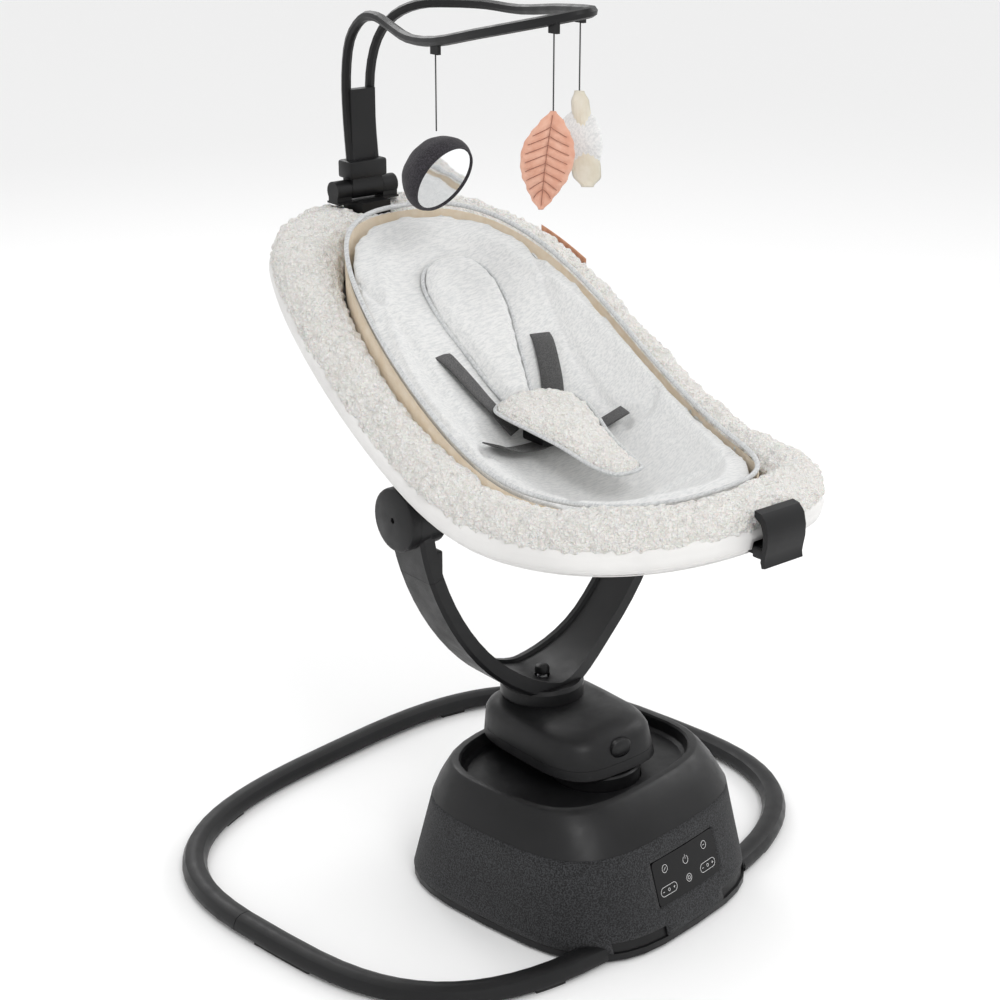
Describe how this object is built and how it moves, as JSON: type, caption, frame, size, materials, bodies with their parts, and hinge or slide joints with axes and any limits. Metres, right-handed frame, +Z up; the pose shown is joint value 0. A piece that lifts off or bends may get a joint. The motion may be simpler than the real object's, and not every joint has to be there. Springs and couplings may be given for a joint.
{
  "type": "baby swing",
  "caption": "Powered baby swing: bucket seat with harness on a two-armed fork that turns on a round base with a floor hoop, with a lifting toy bar and hanging toys.",
  "frame": {"origin": "floor under the centre of the bounding box", "axes": "+Z up, -Y towards the foot end and the control panel, +X to the right of someone facing +Y"},
  "size_m": [0.714, 0.7369, 0.9798],
  "materials": {
    "black_plastic": "satin moulded",
    "gloss_black": "gloss",
    "base_fabric": "heathered knit",
    "black_rubber": "matt",
    "steel": "plated",
    "copper_wire": "enamelled winding",
    "green_board": "solder mask",
    "grey_tube": "satin",
    "grey_plastic": "moulded",
    "white_cloth": "smooth woven",
    "sherpa": "looped pile",
    "jersey": "quilted heather jersey",
    "webbing": "woven",
    "copper_label": "plain woven",
    "charcoal_jersey": "knit",
    "mirror_face": "polished",
    "peach_cotton": "woven, stitched",
    "cream_rib": "ribbed knit"
  },
  "bodies": {
    "base": {"base_plate": "black_plastic", "base_shell": "black_plastic", "base_top_cover": "black_plastic", "speaker_fabric": "base_fabric", "control_panel": "gloss_black", "circuit_board": "green_board", "speaker": "grey_plastic", "column_housing": "grey_plastic", "bearing_upper": "steel", "drive_coil": "copper_wire", "power_inlet": "black_plastic", "hoop_front_left": "black_plastic", "hoop_front_right": "black_plastic", "hoop_rear": "black_plastic", "hoop_pad_front_left": "black_rubber", "hoop_pad_front_right": "black_rubber", "hoop_pad_side_left": "black_rubber", "hoop_pad_side_right": "black_rubber", "hoop_pad_rear_left": "black_rubber", "hoop_pad_rear_right": "black_rubber"},
    "column": {"swing_post": "black_plastic", "magnet_arm": "steel"},
    "arm_housing": {"lift_tube": "steel", "housing_lower": "black_plastic", "housing_upper": "black_plastic", "swivel_spindle": "steel"},
    "height_button": {"height_button": "black_plastic"},
    "fork": {"fork": "black_plastic", "swivel_spring": "steel", "upper_arm_left": "black_plastic", "upper_arm_right": "black_plastic", "hub_cap_left": "black_plastic", "hub_cap_right": "black_plastic"},
    "swivel_button": {"swivel_button": "black_plastic"},
    "seat": {"seat_frame": "grey_tube", "seat_shell": "grey_plastic", "seat_cover": "white_cloth", "sherpa_border": "sherpa", "insert_cushion": "jersey", "head_pad": "jersey", "shoulder_strap_left": "webbing", "shoulder_strap_right": "webbing", "lap_belt": "webbing", "buckle": "black_plastic", "crotch_pad": "sherpa", "label_tag": "copper_label", "handle_bracket": "black_plastic", "hub_bracket_left": "black_plastic", "hub_bracket_right": "black_plastic", "toy_bar_bracket": "black_plastic"},
    "recline_handle": {"recline_handle": "black_plastic"},
    "toy_bar": {"toy_bar": "black_plastic"},
    "mirror_string": {"mirror_string": "webbing"},
    "leaf_string": {"leaf_string": "webbing"},
    "pod_string": {"pod_string": "webbing"},
    "mirror_toy": {"mirror_toy": "charcoal_jersey", "mirror": "mirror_face"},
    "leaf_toy": {"leaf_toy": "peach_cotton"},
    "pod_toy": {"pod_toy": "cream_rib"}
  },
  "joints": [
    {"name": "swing", "type": "hinge", "parent": "base", "child": "column", "pos_m": [0, -0.095, 0], "axis": [0, 0, 1], "range_deg": [-9.5, 26.5]},
    {"name": "height", "type": "slide", "parent": "column", "child": "arm_housing", "axis": [0, 0, 1], "range_m": [0, 0.05]},
    {"name": "height_release", "type": "slide", "parent": "arm_housing", "child": "height_button", "axis": [0.1478, 0.989, 0], "range_m": [0, 0.003], "stiffness_N_per_m": 800, "springref_m": -0.002},
    {"name": "seat_swivel", "type": "hinge", "parent": "arm_housing", "child": "fork", "pos_m": [0.01404, -0.00104, 0.206], "axis": [0, 0, 1], "continuous": true},
    {"name": "swivel_release", "type": "slide", "parent": "fork", "child": "swivel_button", "axis": [0, 0, -1], "range_m": [0, 0.0025], "stiffness_N_per_m": 800, "springref_m": -0.002, "deforming": ["swivel_spring"]},
    {"name": "recline", "type": "hinge", "parent": "fork", "child": "seat", "pos_m": [0.01522, 0.00687, 0.46], "axis": [-0.989, 0.1478, 0], "range_deg": [0, 18]},
    {"name": "handle_pull", "type": "hinge", "parent": "seat", "child": "recline_handle", "pos_m": [-0.03725, -0.34423, 0.491], "axis": [0.989, -0.1478, 0], "range_deg": [0, 12], "stiffness_Nm_per_rad": 2, "springref_deg": -2.86},
    {"name": "toy_bar_turn", "type": "hinge", "parent": "seat", "child": "toy_bar", "pos_m": [0.06326, 0.3283, 0.7345], "axis": [0.989, -0.1478, 0], "range_deg": [-60, 0]},
    {"name": "mirror_string_swing", "type": "hinge", "parent": "toy_bar", "child": "mirror_string", "pos_m": [-0.02435, 0.12097, 0.9172], "axis": [0.989, -0.1478, 0], "range_deg": [-20, 20]},
    {"name": "leaf_string_swing", "type": "hinge", "parent": "toy_bar", "child": "leaf_string", "pos_m": [-0.0247, -0.04379, 0.9537], "axis": [0.989, -0.1478, 0], "range_deg": [-20, 20]},
    {"name": "pod_string_swing", "type": "hinge", "parent": "toy_bar", "child": "pod_string", "pos_m": [0.02968, -0.0317, 0.9582], "axis": [0.989, -0.1478, 0], "range_deg": [-20, 20]},
    {"name": "mirror_toy_swing", "type": "hinge", "parent": "mirror_string", "child": "mirror_toy", "pos_m": [-0.02435, 0.12097, 0.8372], "axis": [0.1478, 0.989, 0], "range_deg": [-15, 15]},
    {"name": "leaf_toy_swing", "type": "hinge", "parent": "leaf_string", "child": "leaf_toy", "pos_m": [-0.0247, -0.04379, 0.8777], "axis": [0.1478, 0.989, 0], "range_deg": [-15, 15]},
    {"name": "pod_toy_swing", "type": "hinge", "parent": "pod_string", "child": "pod_toy", "pos_m": [0.02968, -0.0317, 0.8902], "axis": [0.1478, 0.989, 0], "range_deg": [-15, 15]}
  ]
}
